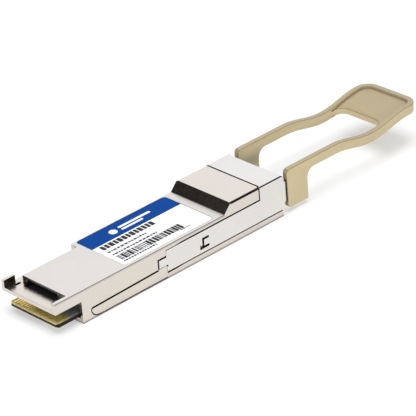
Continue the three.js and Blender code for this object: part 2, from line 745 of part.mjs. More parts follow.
// A flat-headed screw standing on its head, with a cross recess underneath.
function coverScrew() {
  const head = rod("z", [0, 0], SCREW_HEAD, [0, 0.8]);
  const shank = rod("z", [0, 0], SCREW_RADIUS, [0.7, 7.2]);
  const long = [-0.75, 0.75];
  const narrow = [-0.16, 0.16];
  const deep = [-EPS, 0.45];
  return cut(join(head, shank), box(long, narrow, deep), box(narrow, long, deep));
}

// ---- Assembly ----

// A named mesh of a solid, placed in its group.
function piece(name, body, finish, [x, y, z] = [0, 0, 0]) {
  const made = body.getMesh();
  const geometry = new THREE.BufferGeometry();
  geometry.setAttribute("position", new THREE.BufferAttribute(made.vertProperties, made.numProp));
  geometry.setIndex(new THREE.BufferAttribute(made.triVerts, 1));
  geometry.computeVertexNormals();
  const mesh = new THREE.Mesh(geometry, new THREE.MeshStandardMaterial(finish));
  mesh.name = name;
  mesh.position.set(x, y, z);
  return mesh;
}

function housing() {
  const group = new THREE.Group();
  group.add(
    piece("lower_housing", lowerHousing(), FINISH.nickel),
    piece("top_cover", topCover(), FINISH.nickel),
    piece("label", label(), FINISH.label),
    piece("absorber_foam", absorber(), FINISH.foam),
    piece("emi_gasket", box([-6.4, 6.4], [51.2, 51.9], [7.4, SEAM_Z - 0.02]), FINISH.gasket),
    piece("cover_screw_left", coverScrew(), FINISH.steel, [-SCREW_X, SCREW_Y, 0.15]),
    piece("cover_screw_right", coverScrew(), FINISH.steel, [SCREW_X, SCREW_Y, 0.15]),
  );
  return group;
}

function boardAssembly() {
  const group = new THREE.Group();
  const top = BOARD_Z[1];
  group.add(
    piece("circuit_board", circuitBoard(), FINISH.board),
    piece("contact_pads_upper", contactPads([top, top + PAD_THICKNESS]), FINISH.gold),
    piece("contact_pads_lower", contactPads([BOARD_Z[0] - PAD_THICKNESS, BOARD_Z[0]]), FINISH.gold),
  );
  const chips = [
    // name, width, length, height, x, y, finish
    ["retimer_transmit", 5, 5, 0.9, -3.3, 17, FINISH.chip],
    ["retimer_receive", 5, 5, 0.9, 3.3, 17, FINISH.chip],
    ["microcontroller", 4, 4, 0.8, -3.6, 25.5, FINISH.chip],
    ["crystal_oscillator", 2.5, 2, 0.7, 0.9, 25.5, FINISH.steel],
    ["power_inductor_1", 2.4, 2, 1.1, 5.2, 24, FINISH.gasket],
    ["power_inductor_2", 2.4, 2, 1.1, 5.2, 27, FINISH.gasket],
    ["laser_driver", 2.8, 2.2, 0.5, -2, 31.4, FINISH.die],
    ["receiver_amplifier", 2.8, 2.2, 0.5, 2, 31.4, FINISH.die],
    ["laser_array", 2.4, 0.5, 0.3, -1.9, 34, FINISH.die],
    ["photodiode_array", 2.4, 0.5, 0.3, 1.9, 34, FINISH.die],
  ];
  for (const [name, width, length, height, x, y, finish] of chips) {
    group.add(piece(name, component(width, length, height, 0.05), finish, [x, y, top]));
  }
  for (let i = 0; i < 6; i += 1) {
    const place = [-6.25 + 2.5 * i, 11.8, top];
    group.add(piece(`decoupling_capacitor_${i + 1}`, component(1, 0.5, 0.5, 0.06), FINISH.ceramic, place));
  }
  const padTop = COVER_UNDER - 0.02;
  group.add(
    piece("thermal_pad_retimers", box([-5.6, 5.6], [14.7, 19.3], [top + 0.92, padTop]), FINISH.pad),
    piece("thermal_pad_driver", box([-3.3, 3.3], [30.4, 32.4], [top + 0.52, padTop]), FINISH.pad),
    piece("board_thermal_pad", box([-5, 5], [14, 34], [FLOOR + 0.02, BOARD_Z[0] - 0.02]), FINISH.pad),
  );
  return group;
}

function optics() {
  const group = new THREE.Group();
  const lensY = 36;
  const ribbonStart = lensY + 1.3;
  const ribbonZ = BOARD_Z[1] + 1;
  group.add(
    piece("lens_block", lensBlock(), FINISH.lens, [0, lensY, BOARD_Z[1]]),
    piece("fibre_ribbon", fibreRibbon(ribbonStart, ribbonZ, FERRULE_Y[0] + 2.8), FINISH.fibre),
    piece("mt_ferrule", ferrule(), FINISH.ferrule),
    piece("ferrule_clip", ferruleClip(), FINISH.springSteel),
    piece("optical_receptacle", opticalReceptacle(), FINISH.insert),
  );
  const pin = rod("y", [0, 0], PIN_RADIUS, [0, 9.6], 12);
  for (const [name, side] of [["guide_pin_left", -1], ["guide_pin_right", 1]]) {
    const place = [(side * PIN_SPACING) / 2, FERRULE_Y[0] + 2.4, PORT_Z];
    group.add(piece(name, pin, FINISH.springSteel, place));
  }
  return group;
}

function latch() {
  const group = new THREE.Group();
  group.add(
    piece("latch_slider", latchSlider(), FINISH.steel),
    piece("pull_tab", pullTab(), FINISH.tab),
    piece("return_spring_left", returnSpring(), FINISH.springSteel, [-SPRING_X, SPRING_Y[0], SPRING_Z]),
    piece("return_spring_right", returnSpring(), FINISH.springSteel, [SPRING_X, SPRING_Y[0], SPRING_Z]),
  );
  return group;
}

const transceiver = new THREE.Group();
transceiver.add(housing(), boardAssembly(), optics(), latch());
transceiver.position.y = -TAB_END / 2;

export default transceiver;
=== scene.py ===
"""A pluggable optical transceiver module on a pale studio floor."""

import math
import random

import bmesh
import bpy
from mathutils import Matrix, Vector


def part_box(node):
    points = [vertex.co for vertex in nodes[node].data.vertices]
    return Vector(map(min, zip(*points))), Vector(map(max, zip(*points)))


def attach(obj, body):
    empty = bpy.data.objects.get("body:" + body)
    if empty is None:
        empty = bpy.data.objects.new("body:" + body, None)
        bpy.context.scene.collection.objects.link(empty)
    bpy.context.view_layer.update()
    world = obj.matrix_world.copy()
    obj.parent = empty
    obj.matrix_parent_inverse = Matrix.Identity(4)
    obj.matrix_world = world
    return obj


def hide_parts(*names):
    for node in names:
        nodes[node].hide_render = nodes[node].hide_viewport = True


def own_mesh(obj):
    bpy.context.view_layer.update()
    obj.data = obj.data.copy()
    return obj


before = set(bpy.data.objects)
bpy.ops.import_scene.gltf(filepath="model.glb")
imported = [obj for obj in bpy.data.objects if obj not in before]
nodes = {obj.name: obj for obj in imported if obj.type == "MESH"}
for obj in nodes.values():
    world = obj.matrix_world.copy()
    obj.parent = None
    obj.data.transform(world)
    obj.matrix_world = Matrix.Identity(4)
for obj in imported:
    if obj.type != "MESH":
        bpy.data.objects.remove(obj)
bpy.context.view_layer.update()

MM = 0.001


def mm(*values):
    """A point given in millimetres, in metres."""
    return Vector(values) * MM


# ---- Node material helpers ----


def scaled(tone, share):
    """A colour with every channel multiplied."""
    return tuple(share * c for c in tone)


class Graph:
    """A node tree under construction. Sockets are linked as they are made."""

    def __init__(self, tree):
        self.tree = tree

    def add(self, kind, **settings):
        node = self.tree.nodes.new(kind)
        for key, value in settings.items():
            setattr(node, key, value)
        return node

    def put(self, value, socket):
        """A link or a plain value into a socket."""
        if isinstance(value, bpy.types.NodeSocket):
            self.tree.links.new(value, socket)
        elif isinstance(value, (tuple, list)) and len(value) == 3 and socket.type == "RGBA":
            socket.default_value = (*value, 1)
        else:
            socket.default_value = value

    def math(self, operation, *values):
        node = self.add("ShaderNodeMath", operation=operation)
        for value, socket in zip(values, node.inputs):
            self.put(value, socket)
        return node.outputs[0]

    def span(self, value, low, high, out_low=0, out_high=1, smooth=False):
        """The value's low..high range mapped to the output range."""
        node = self.add("ShaderNodeMapRange")
        node.interpolation_type = "SMOOTHSTEP" if smooth else "LINEAR"
        for socket, number in zip(node.inputs, (value, low, high, out_low, out_high)):
            self.put(number, socket)
        return node.outputs[0]

    def mix(self, factor, first, second, blend="MIX"):
        node = self.add("ShaderNodeMix", data_type="RGBA", blend_type=blend)
        self.put(factor, node.inputs["Factor"])
        self.put(first, node.inputs[6])
        self.put(second, node.inputs[7])
        return node.outputs[2]

    def tinted(self, colour, tint):
        """The colour multiplied by a tint."""
        return self.mix(1.0, colour, tint, "MULTIPLY")

    def part(self, vector, letter):
        """One component of a vector."""
        node = self.add("ShaderNodeSeparateXYZ")
        self.put(vector, node.inputs[0])
        return node.outputs[letter]


class Recipe(Graph):
    """A node material under construction. Lengths are given in millimetres."""

    def __init__(self, name):
        self.material = bpy.data.materials.new(name)
        self.material.use_nodes = True
        super().__init__(self.material.node_tree)
        self.shader = self.tree.nodes["Principled BSDF"]
        coordinates = self.add("ShaderNodeTexCoord")
        self.place = coordinates.outputs["Object"]
        self.facing = coordinates.outputs["Normal"]

    def set(self, **inputs):
        """Shader inputs by name, with underscores for spaces."""
        for name, value in inputs.items():
            self.put(value, self.shader.inputs[name.replace("_", " ")])
        return self

    def stretched(self, scale):
        """Object coordinates scaled along each axis."""
        node = self.add("ShaderNodeMapping")
        self.put(self.place, node.inputs["Vector"])
        node.inputs["Scale"].default_value = scale
        return node.outputs[0]

    def noise(self, per_mm, detail=3, roughness=0.5, scale=(1, 1, 1)):
        node = self.add("ShaderNodeTexNoise")
        self.put(self.stretched(scale), node.inputs["Vector"])
        node.inputs["Scale"].default_value = per_mm / MM
        node.inputs["Detail"].default_value = detail
        node.inputs["Roughness"].default_value = roughness
        return node.outputs["Fac"]

    def cells(self, per_mm):
        """Distance to the nearest of scattered points."""
        node = self.add("ShaderNodeTexVoronoi")
        self.put(self.place, node.inputs["Vector"])
        node.inputs["Scale"].default_value = per_mm / MM
        return node.outputs["Distance"]

    def bricks(self, scale, mortar, offset, **inputs):
        """A brick pattern in millimetres, 1 on the mortar lines and 0 between them."""
        node = self.add("ShaderNodeTexBrick", offset=offset)
        self.put(self.stretched((1 / MM, 1 / MM, 1 / MM)), node.inputs["Vector"])
        node.inputs["Scale"].default_value = scale
        node.inputs["Mortar Size"].default_value = mortar
        for name, value in inputs.items():
            node.inputs[name.replace("_", " ")].default_value = value
        return node.outputs["Fac"]

    def painted_crevice_shade(self, colour, reach_mm, power, floor):
        """The colour with painted shade, darkened in seams and corners where an ambient occlusion
        test finds little open space.
        """
        node = self.add("ShaderNodeAmbientOcclusion", samples=8)
        node.inputs["Distance"].default_value = reach_mm * MM
        open_share = self.math("POWER", node.outputs["AO"], power)
        dark = self.tinted(colour, (floor, floor * 0.93, floor * 0.85))
        return self.mix(self.span(open_share, 0.1, 0.7), dark, colour)

    def inside(self, low, high):
        """1 inside a box given in millimetres in the row frame, 0 outside."""
        share = None
        for letter, start, end in zip("XYZ", low, high):
            place = self.part(self.place, letter)
            above = self.math("GREATER_THAN", place, start * MM)
            below = self.math("LESS_THAN", place, end * MM)
            both = self.math("MULTIPLY", above, below)
            share = both if share is None else self.math("MULTIPLY", share, both)
        return share

    def bump(self, height, distance_mm, strength=1.0, base=None):
        node = self.add("ShaderNodeBump")
        node.inputs["Strength"].default_value = strength
        node.inputs["Distance"].default_value = distance_mm * MM
        self.put(height, node.inputs["Height"])
        if base is not None:
            self.put(base, node.inputs["Normal"])
        return node.outputs[0]


# ---- Materials ----


# The box around the hood's ear, in millimetres in the row frame
EAR_BOX = ((-8.9, -62, 5.5), (-7.6, -56.5, 12))
EAR_SHADE = (0.06, 0.046, 0.038)


def plated_casting(name, tone, rough):
    """Satin nickel over a casting: slow cloudiness, fine grain and a few handling marks."""
    r = Recipe(name)
    cloud = r.noise(0.07)
    grain = r.noise(11, 2)
    marks = r.noise(1.6, 2, scale=(1, 0.08, 1))
    colour = r.mix(r.span(cloud, 0.35, 0.65), scaled(tone, 0.965), tone)
    base = r.span(cloud, 0.3, 0.7, rough, rough + 0.04)
    roughness = r.math("ADD", base, r.span(marks, 0.5, 0.75, 0, 0.04))
    bump = r.bump(marks, 0.002, 0.12, r.bump(grain, 0.002, 0.2))
    # Painted shade in seams and corners
    colour = r.painted_crevice_shade(colour, 0.9, 2.2, 0.02)
    # Painted dark reflection: slopes and chamfers facing the card end and the right are darkened,
    # in place of a dark flag mirrored in them
    right, up = r.part(r.facing, "X"), r.part(r.facing, "Z")
    ahead = r.math("MULTIPLY", r.part(r.facing, "Y"), -1)
    sideways = r.span(r.math("MAXIMUM", right, ahead), 0.5, 0.65)
    painted_dark_reflection = r.math("MULTIPLY", sideways, r.span(up, 0.5, 0.65))
    colour = r.mix(painted_dark_reflection, colour, r.tinted(colour, (0.34, 0.31, 0.29)))
    # Painted shade: the ear's inner face is painted as dark as the pocket behind it
    ear = r.math("MULTIPLY", r.span(right, 0.6, 0.9), r.inside(*EAR_BOX))
    colour = r.mix(ear, colour, EAR_SHADE)
    return r.set(Base_Color=colour, Metallic=1.0, Roughness=roughness, Normal=bump).material


def rolled_sheet(name, tone):
    """Plated sheet with a faint rolling direction along the module."""
    r = Recipe(name)
    cloud = r.noise(0.08)
    lines = r.noise(6, scale=(1, 0.04, 1))
    colour = r.mix(r.span(cloud, 0.35, 0.65), scaled(tone, 0.97), tone)
    base = r.span(cloud, 0.3, 0.7, 0.15, 0.18)
    roughness = r.math("ADD", base, r.span(lines, 0.4, 0.7, 0, 0.04))
    bump = r.bump(lines, 0.002, 0.2)
    # Painted shade in seams and corners
    colour = r.painted_crevice_shade(colour, 0.9, 2.2, 0.02)
    return r.set(Base_Color=colour, Metallic=1.0, Roughness=roughness, Normal=bump).material


def drawn_steel(name, tone, rough):
    """Bright steel of wire, pins and screws, with fine scratches."""
    r = Recipe(name)
    marks = r.noise(14)
    colour = r.mix(r.span(marks, 0.3, 0.7), scaled(tone, 0.8), tone)
    bump = r.bump(marks, 0.003, 0.4)
    roughness = r.span(marks, 0.3, 0.7, rough - 0.06, rough + 0.08)
    return r.set(Base_Color=colour, Metallic=1.0, Roughness=roughness, Normal=bump).material


def gold_plate():
    """Hard gold over copper, with a soft wipe mark along each finger."""
    r = Recipe("contact_gold")
    wipe = r.noise(5, scale=(1, 0.1, 1))
    colour = r.mix(r.span(wipe, 0.35, 0.7), (0.92, 0.7, 0.16), (1.0, 0.8, 0.24))
    bump = r.bump(wipe, 0.003, 0.4)
    rough = r.span(wipe, 0.3, 0.7, 0.35, 0.5)
    # Painted shadow under the hood, deepening away from the card's open edges
    colour = r.painted_crevice_shade(colour, 3, 1.0, 0.08)
    return r.set(Base_Color=colour, Metallic=0.7, Roughness=rough, Normal=bump).material


BARE_STRIP = 4.0  # millimetres of bare laminate behind the card's front edge


def board_laminate():
    """Bare laminate at the card edge, then solder resist over faintly raised tracks."""
    r = Recipe("board_laminate")
    weave = r.noise(3, 2)
    tracks = r.bricks(1.3, 0.06, 0.37, Brick_Width=0.28, Row_Height=2.7)
    resist = r.mix(tracks, (0.3, 0.31, 0.29), (0.42, 0.43, 0.41))
    bare = r.mix(r.span(weave, 0.3, 0.7), (0.66, 0.52, 0.2), (0.78, 0.64, 0.3))
    strip_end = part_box("circuit_board")[0][1] + BARE_STRIP * MM
    behind = r.span(r.part(r.place, "Y"), strip_end, strip_end + 0.1 * MM)
    colour = r.mix(behind, bare, resist)
    # The sawn sides of the card are painted near black: partly their dark core, partly painted
    # shade
    flat = r.span(r.math("ABSOLUTE", r.part(r.facing, "Z")), 0.4, 0.6)
    colour = r.mix(flat, (0.006, 0.004, 0.003), colour)
    bump = r.bump(tracks, 0.02, 0.5)
    # Painted shadow under the hood, deepening away from the card's open edges
    colour = r.painted_crevice_shade(colour, 5, 1.3, 0.02)
    rough = r.span(weave, 0.3, 0.7, 0.5, 0.65)
    r.set(Base_Color=colour, Roughness=rough, Normal=bump, Specular_IOR_Level=0.2)
    return r.material


def moulded(name, tone, grain_per_mm=7, depth_mm=0.01, rough=(0.42, 0.55)):
    """Moulded plastic: spark-eroded grain with slow colour and gloss drift."""
    r = Recipe(name)
    grain = r.noise(grain_per_mm, 3, 0.6)
    pits = r.cells(grain_per_mm * 0.7)
    drift = r.noise(0.08)
    height = r.math("ADD", grain, r.math("MULTIPLY", pits, 0.5))
    colour = r.mix(r.span(drift, 0.35, 0.65), scaled(tone, 0.93), tone)
    bump = r.bump(height, depth_mm, 0.45)
    roughness = r.span(grain, 0.3, 0.7, *rough)
    return r.set(Base_Color=colour, Roughness=roughness, Normal=bump).material


def tab_plastic(tone):
    """Moulded beige plastic: fine eroded grain and flecks, with painted shade in corners and
    along the rounded edges of the upper faces.
    """
    r = Recipe("tab_plastic")
    grain = r.noise(6, 3, 0.6)
    drift = r.noise(0.06)
    colour = r.mix(r.span(drift, 0.35, 0.65), scaled(tone, 0.95), tone)
    # Painted shade: the rounded edges around the upper faces are darkened
    up = r.part(r.facing, "Z")
    edge = r.math("MULTIPLY", r.span(up, 0.1, 0.3), r.span(up, 0.88, 0.955, 1, 0))
    colour = r.mix(edge, colour, r.tinted(colour, (0.52, 0.48, 0.41)))
    # Painted sheen and shade: upward faces are tinted a little darker and greyer than the flanks
    painted_top_sheen = r.span(up, 0.6, 0.95, smooth=True)
    colour = r.mix(painted_top_sheen, colour, r.tinted(colour, (0.92, 0.9, 0.93)))
    flecks = r.noise(3.2)
    colour = r.mix(r.span(flecks, 0.45, 0.7, 0, 0.35), colour, scaled(tone, 0.8))
    # Painted shade in corners and crevices
    colour = r.painted_crevice_shade(colour, 1.1, 3.0, 0.25)
    bump = r.bump(grain, 0.008, 0.35)
    rough = r.span(grain, 0.3, 0.7, 0.34, 0.44)
    return r.set(Base_Color=colour, Roughness=rough, Normal=bump).material


def clear_resin(name, tone):
    """Glossy half-clear resin or glass with a faint flow pattern."""
    r = Recipe(name)
    flow = r.noise(0.6)
    colour = r.mix(r.span(flow, 0.3, 0.7), scaled(tone, 0.85), tone)
    bump = r.bump(flow, 0.01, 0.1)
    rough = r.span(flow, 0.3, 0.7, 0.08, 0.16)
    r.set(Base_Color=colour, Roughness=rough, Normal=bump)
    return r.set(IOR=1.6, Transmission_Weight=0.25, Coat_Weight=0.4).material


def polished_die():
    """Dark polished semiconductor with a fine grid of circuitry."""
    r = Recipe("bare_die")
    grid = r.bricks(8, 0.03, 0.5)
    tint = r.noise(1.2, 2)
    base = r.mix(r.span(tint, 0.3, 0.7), (0.12, 0.15, 0.22), (0.24, 0.17, 0.25))
    colour = r.mix(grid, base, (0.5, 0.42, 0.2))
    rough = r.span(tint, 0.3, 0.7, 0.12, 0.22)
    return r.set(Base_Color=colour, Metallic=0.7, Roughness=rough).material


def label_film(name, tone, gloss):
    """Satin printed polyester: a faint mottled ink film under a clear top coat."""
    r = Recipe(name)
    mottle = r.noise(3.5)
    colour = r.mix(r.span(mottle, 0.3, 0.7), scaled(tone, 0.95), tone)
    bump = r.bump(mottle, 0.003, 0.25)
    rough = r.span(mottle, 0.3, 0.7, 0.38, 0.5)
    r.set(Base_Color=colour, Roughness=rough, Normal=bump, Specular_IOR_Level=gloss)
    return r.material


CASTING = plated_casting("plated_casting", (0.665, 0.615, 0.55), 0.2)
COVER = plated_casting("plated_cover", (0.65, 0.615, 0.57), 0.17)
SHEET = rolled_sheet("sheet_steel", (0.7, 0.68, 0.645))
SPRING = drawn_steel("spring_steel", (0.55, 0.55, 0.54), 0.28)
SCREW = drawn_steel("screw_steel", (0.62, 0.6, 0.57), 0.24)
GOLD = gold_plate()
BOARD = board_laminate()
TRACK = moulded("track_resist", (0.06, 0.08, 0.05), 8, 0.004, (0.3, 0.4))
TAB = tab_plastic((0.455, 0.375, 0.215))
PORT = moulded("port_plastic", (0.022, 0.022, 0.024), 8, 0.008, (0.35, 0.5))
FERRULE = moulded("ferrule_resin", (0.06, 0.07, 0.085), 14, 0.004, (0.2, 0.32))
LENS = clear_resin("lens_resin", (0.75, 0.36, 0.08))
FIBRE_GLASS = clear_resin("fibre_glass", (0.7, 0.8, 0.85))
RIBBON = moulded("ribbon_coating", (0.05, 0.5, 0.55), 3, 0.01, (0.25, 0.35))
CHIP = moulded("chip_package", (0.02, 0.02, 0.022), 12, 0.006, (0.45, 0.6))
DIE = polished_die()
CERAMIC = moulded("ceramic", (0.42, 0.31, 0.19), 12, 0.004, (0.4, 0.6))
FERRITE = moulded("ferrite", (0.06, 0.06, 0.065), 14, 0.01, (0.6, 0.75))
GAP_PAD = moulded("gap_pad", (0.3, 0.35, 0.46), 5, 0.03, (0.75, 0.9))
FOAM_AND_PAINTED_SHADE = moulded("absorber_foam", (0.008, 0.008, 0.008), 4, 0.06, (0.9, 1.0))
# Near-black absorber foam, which also serves as painted shade inside the hood
GASKET = moulded("conductive_gasket", (0.07, 0.07, 0.075), 6, 0.03, (0.8, 0.95))
LABEL_WHITE = label_film("label_film", (0.99, 0.99, 0.985), 0.9)
LABEL_BLUE = label_film("label_blue_ink", (0.001, 0.058, 0.29), 0.03)
LABEL_DARK = label_film("label_dark_ink", (0.01, 0.01, 0.012), 0.15)
LABEL_GREY = label_film("label_grey_ink", (0.03, 0.03, 0.033), 0.15)


# ---- Finishing the CAD pieces ----


WELD_MM = 0.0005
FLAT_DEGREES = 0.5


def dress(name, material, edge_mm=0.0, segments=2, angle=35, crisp=False):
    """Gives a CAD node its material and breaks the edges sharper than an angle in degrees.

    A crisp piece keeps flat faces beside its bevels, as mirror-like metal needs.
    """
    node = nodes[name]
    node.data.materials.clear()
    node.data.materials.append(material)
    if not edge_mm:
        return
    for face in node.data.polygons:
        face.use_smooth = not crisp
    weld = node.modifiers.new("weld", "WELD")
    weld.merge_threshold = WELD_MM * MM
    merge = node.modifiers.new("flats", "DECIMATE")
    merge.decimate_type = "DISSOLVE"
    merge.angle_limit = math.radians(FLAT_DEGREES)
    bevel = node.modifiers.new("edges", "BEVEL")
    bevel.width = edge_mm * MM
    bevel.segments = segments
    bevel.limit_method = "ANGLE"
    bevel.angle_limit = math.radians(angle)
    bevel.harden_normals = not crisp
    bevel.use_clamp_overlap = False


dress("lower_housing", CASTING, 0.03, 1, 30, crisp=True)
dress("top_cover", COVER, 0.03, 1, 30, crisp=True)
dress("latch_slider", SHEET, 0.03, 1, 30, crisp=True)
dress("circuit_board", BOARD, 0.03)
dress("label", LABEL_WHITE)
dress("absorber_foam", FOAM_AND_PAINTED_SHADE, 0.08)
dress("emi_gasket", GASKET, 0.15, 3)
dress("pull_tab", TAB, 0.18, 3, 50)
dress("optical_receptacle", PORT, 0.05)
dress("mt_ferrule", FERRULE, 0.04)
dress("ferrule_clip", SPRING, 0.04)
dress("fibre_ribbon", RIBBON, 0.06)
dress("lens_block", LENS, 0.05)
for name in ("retimer_transmit", "retimer_receive", "microcontroller"):
    dress(name, CHIP, 0.03)
for name in ("laser_driver", "receiver_amplifier", "laser_array", "photodiode_array"):
    dress(name, DIE)
for name in ("power_inductor_1", "power_inductor_2"):
    dress(name, FERRITE, 0.08)
dress("crystal_oscillator", SCREW, 0.05)
for i in range(1, 7):
    dress(f"decoupling_capacitor_{i}", CERAMIC, 0.03)
for name in ("thermal_pad_retimers", "thermal_pad_driver", "board_thermal_pad"):
    dress(name, GAP_PAD, 0.12)
for side in ("left", "right"):
    dress(f"guide_pin_{side}", SPRING, 0.08)
    dress(f"cover_screw_{side}", SCREW, 0.05)


# ---- Detail pieces ----

Y_SHIFT = -60.75  # millimetres from the module's card end to the frame's origin along Y


def at(x, y, z):
    """A point measured from the card end, in metres in the row frame."""
    return Vector((x, y + Y_SHIFT, z)) * MM


def make(name, shape, material):
    """An object of a bmesh, riding on the housing."""
    mesh = bpy.data.meshes.new(name)
    bmesh.ops.recalc_face_normals(shape, faces=shape.faces)
    shape.to_mesh(mesh)
    shape.free()
    mesh.materials.append(material)
    obj = bpy.data.objects.new(name, mesh)
    bpy.context.scene.collection.objects.link(obj)
    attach(obj, "housing")
    return obj


def rounded(x0, x1, y0, y1, radius, steps=5):
    """Corner-rounded rectangle as a list of (x, y), anticlockwise."""
    points = []
    corners = ((x1, y0, -90), (x1, y1, 0), (x0, y1, 90), (x0, y0, 180))
    for x, y, start in corners:
        cx = x - radius if x == x1 else x + radius
        cy = y - radius if y == y1 else y + radius
        for i in range(steps + 1):
            angle = math.radians(start + 90 * i / steps)
            points.append((cx + radius * math.cos(angle), cy + radius * math.sin(angle)))
    return points


def skin(shape, first, second):
    """Joins two rings of vertices with quads."""
    count = len(first)
    for i in range(count):
        j = (i + 1) % count
        shape.faces.new((first[i], first[j], second[j], second[i]))


def plates(name, outlines, z0, z1, material):
    """Closed flat plates of some outlines, as one object."""
    shape = bmesh.new()
    for outline in outlines:
        low = [shape.verts.new(at(x, y, z0)) for x, y in outline]
        high = [shape.verts.new(at(x, y, z1)) for x, y in outline]
        shape.faces.new(list(reversed(low)))
        shape.faces.new(high)
        skin(shape, low, high)
    return make(name, shape, material)


LABEL_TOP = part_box("label")[1][2] / MM
INK = 0.008  # thickness of each printed layer
BAND_X = (-8.67, -2.95)
BAND_Y = (22.4, 50.7)
BAND_CORNER = 0.85
STRIPE_X = (3.5, 6.0)
STRIPE_Y = (23.9, 43.6)
STRIPE_WIDTHS = (0.3, 0.34, 0.55, 0.8)
STRIPE_GAPS = (0.16, 0.2, 0.3)


def label_print():
    """Generic marks: a band with a disc and two bars, rows of blank blocks, and random stripes.

    Across the label X runs from the band to the stripes, and along it Y from the card end.
    """
    ink_top = LABEL_TOP + INK
    near_corners = [(BAND_X[1], BAND_Y[0]), (BAND_X[1], BAND_Y[1])]
    far_corners = [(x, y) for x, y in rounded(*BAND_X, *BAND_Y, BAND_CORNER, 6) if x < -4]
    band = near_corners + far_corners
    plates("label_band", [band], LABEL_TOP, ink_top, LABEL_BLUE)

    disc = rounded(-6.6, -4.4, 30.2, 32.4, 1.09, 8)
    bars = [rounded(-6.5, -5.7, 33.4, 43.6, 0.39, 5), rounded(-5.2, -4.5, 33.4, 40.2, 0.34, 5)]
    plates("label_emblem", [disc, *bars], ink_top, ink_top + INK, LABEL_WHITE)

    draw = random.Random(7)

    def blocks(x0, x1, start, end, lengths, gap, radius):
        """A row of rounded blocks of random lengths between two ends."""
        found = []
        y = start
        while y < end:
            length = min(draw.uniform(*lengths), end - y)
            if length > 2.2 * radius:
                found.append(rounded(x0, x1, y, y + length, radius, 3))
            y += length + gap
        return found

    def stripes():
        """Bars of random widths across the label."""
        found = []
        y = STRIPE_Y[0]
        while y < STRIPE_Y[1]:
            width = draw.choice(STRIPE_WIDTHS)
            x0, x1 = STRIPE_X
            found.append([(x0, y), (x1, y), (x1, y + width), (x0, y + width)])
            y += width + draw.choice(STRIPE_GAPS)
        return found

    dark = blocks(-2.5, -0.55, 24.0, 40.6, (0.8, 1.5), 0.28, 0.22)
    dark += stripes()
    dark += blocks(6.4, 6.95, 23.6, 33.9, (0.35, 0.8), 0.2, 0.1)
    plates("label_blocks", dark, LABEL_TOP, ink_top, LABEL_DARK)

    grey = blocks(0.62, 1.24, 23.8, 35.8, (0.4, 1.1), 0.22, 0.12)
    grey += blocks(2.26, 2.88, 23.9, 37.8, (0.4, 1.1), 0.22, 0.12)
    grey += blocks(6.1, 6.5, 42.0, 45.0, (0.25, 0.5), 0.16, 0.08)
    plates("label_lines", grey, LABEL_TOP, ink_top, LABEL_GREY)


BOARD_LOW, BOARD_HIGH = (corner[2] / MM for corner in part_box("circuit_board"))
FINGER_COUNT = 19
FINGER_PITCH = 0.8
FINGER_WIDTH = 0.54
FINGER_HEIGHT = 0.04
SHORT_BY = 0.35
FINGER_X = [(i - (FINGER_COUNT - 1) / 2) * FINGER_PITCH for i in range(FINGER_COUNT)]


def contact_fingers(name, node, z0):
    """One row of separate gold fingers with rounded ends; every third one reaches further."""
    low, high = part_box(node)
    front, rear = low[1] / MM - Y_SHIFT, high[1] / MM - Y_SHIFT
    half = FINGER_WIDTH / 2
    outlines = []
    for i, x in enumerate(FINGER_X):
        start = front if i % 3 == 0 else front + SHORT_BY
        outlines.append(rounded(x - half, x + half, start, rear, 0.12, 4))
    obj = plates(name, outlines, z0, z0 + FINGER_HEIGHT, GOLD)
    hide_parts(node)


TRACK_WIDTH = 0.18
TRACK_HEIGHT = 0.025
TRACK_GATHER = 0.72
VIA_COUNT = 26
VIA_RADIUS = 0.16


def board_tracks():
    """Raised tracks that leave the fingers and gather towards the retimers, and plated vias."""
    half = TRACK_WIDTH / 2
    tracks = []
    for x in FINGER_X:
        gathered = x * TRACK_GATHER
        path = [(x, 4.4), (x, 6.2), (gathered, 8.6), (gathered, 10.9)]
        left = [(px - half, py) for px, py in path]
        right = [(px + half, py) for px, py in reversed(path)]
        tracks.append(left + right)
    top = BOARD_HIGH + TRACK_HEIGHT
    plates("board_tracks", tracks, BOARD_HIGH, top, TRACK)

    draw = random.Random(11)
    vias = []
    for _ in range(VIA_COUNT):
        x, y = draw.uniform(-6.5, 6.5), draw.uniform(9.2, 11.0)
        sides = (x - VIA_RADIUS, x + VIA_RADIUS, y - VIA_RADIUS, y + VIA_RADIUS)
        vias.append(rounded(*sides, VIA_RADIUS - 0.005, 3))
    plates("board_vias", vias, top + 0.001, top + 0.015, GOLD)


COIL_WIRE = 0.14  # radius of the wire
COIL_RADIUS = 0.6
CLOSED_TURNS = 1.25  # touching turns at each end
ACTIVE_TURNS = 5.5
CLOSED_SHARE = 0.06  # share of the length that each end's turns take
STEPS_PER_TURN = 28
WIRE_SIDES = 8


def coil_share(turn, turns):
    """How far along the spring the wire is after some turns, from 0 to 1."""
    if turn < CLOSED_TURNS:
        return CLOSED_SHARE * turn / CLOSED_TURNS
    if turn > turns - CLOSED_TURNS:
        return 1 - CLOSED_SHARE * (turns - turn) / CLOSED_TURNS
    return CLOSED_SHARE + (1 - 2 * CLOSED_SHARE) * (turn - CLOSED_TURNS) / ACTIVE_TURNS


